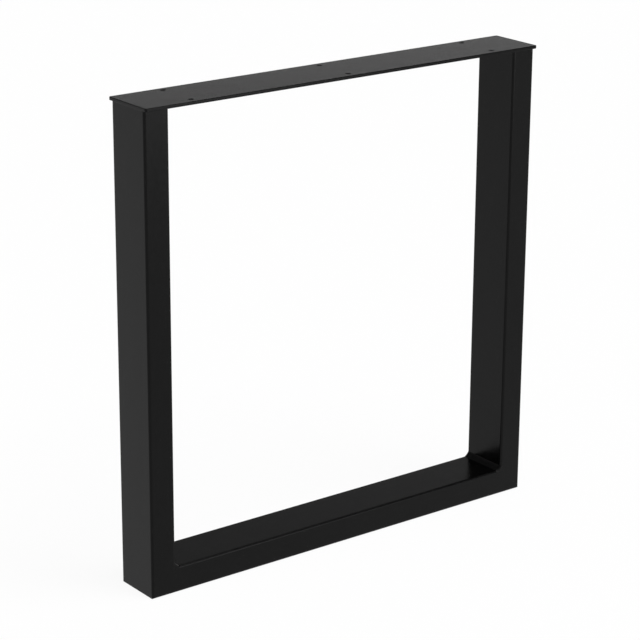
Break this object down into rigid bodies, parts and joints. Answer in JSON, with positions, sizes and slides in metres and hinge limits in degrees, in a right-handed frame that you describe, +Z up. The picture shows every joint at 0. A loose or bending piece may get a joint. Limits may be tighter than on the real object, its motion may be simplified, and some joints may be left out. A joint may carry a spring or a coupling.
{
  "type": "table leg frame",
  "caption": "Closed rectangular leg frame of black powder-coated steel tube with a flat screw plate on top, to carry one end of a table top.",
  "frame": {"origin": "on the floor, under the middle of the bottom rail", "axes": "+Z up, +X across the frame towards the right leg, +Y from front to back through the frame opening"},
  "size_m": [0.702, 0.092, 0.72],
  "materials": {
    "powder_coat": "satin black powder coat on steel, with a very fine orange peel",
    "coated_weld": "the same satin black powder coat over a fillet weld"
  },
  "bodies": {
    "root": {"top_plate": "powder_coat", "left_leg": "powder_coat", "right_leg": "powder_coat", "bottom_rail": "powder_coat", "left_corner_weld": "coated_weld", "right_corner_weld": "coated_weld", "left_mitre_weld": "powder_coat", "right_mitre_weld": "powder_coat", "left_plate_weld": "coated_weld", "right_plate_weld": "coated_weld"}
  },
  "joints": []
}
